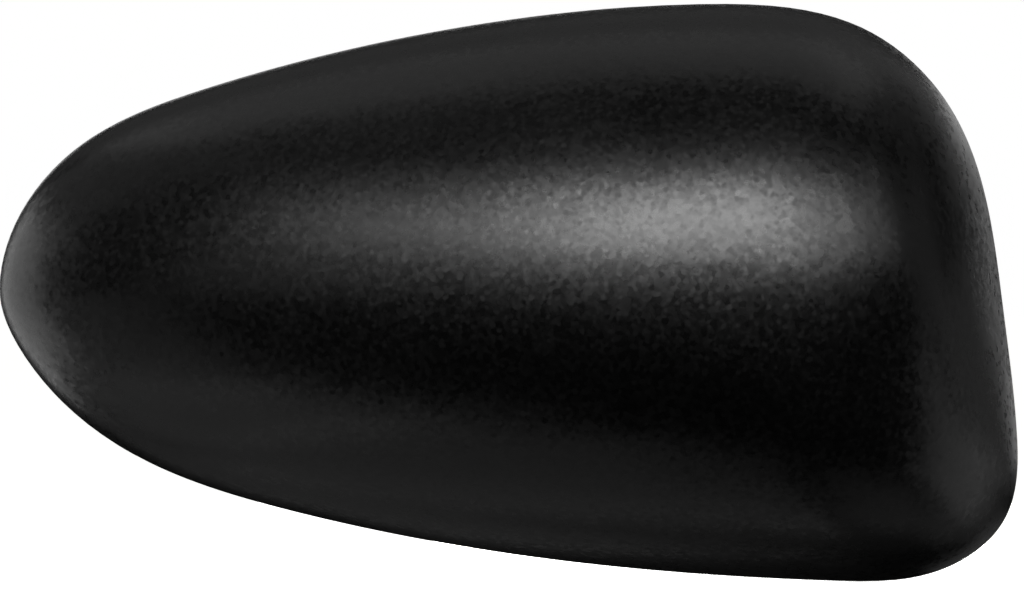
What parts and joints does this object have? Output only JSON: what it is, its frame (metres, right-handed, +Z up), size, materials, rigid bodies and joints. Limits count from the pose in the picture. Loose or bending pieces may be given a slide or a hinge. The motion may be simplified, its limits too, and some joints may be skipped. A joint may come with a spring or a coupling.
{
  "type": "wing mirror cover",
  "caption": "Moulded cover for a car's wing mirror: a thin domed cap with a tapered nose, a straight door side, and snap hooks, pegs and ribs inside.",
  "frame": {"origin": "middle of the outline's box in the rim plane, where the cover seats on the mirror housing", "axes": "+Z up as fitted on the car, +X along the cover from the outer nose to the door side, +Y out of the open back towards the housing; the domed front faces -Y"},
  "size_m": [0.216, 0.066, 0.1224],
  "materials": {
    "mirror_cover": "fine-grained moulded black"
  },
  "bodies": {
    "root": {"mirror_cover": "mirror_cover"}
  },
  "joints": []
}
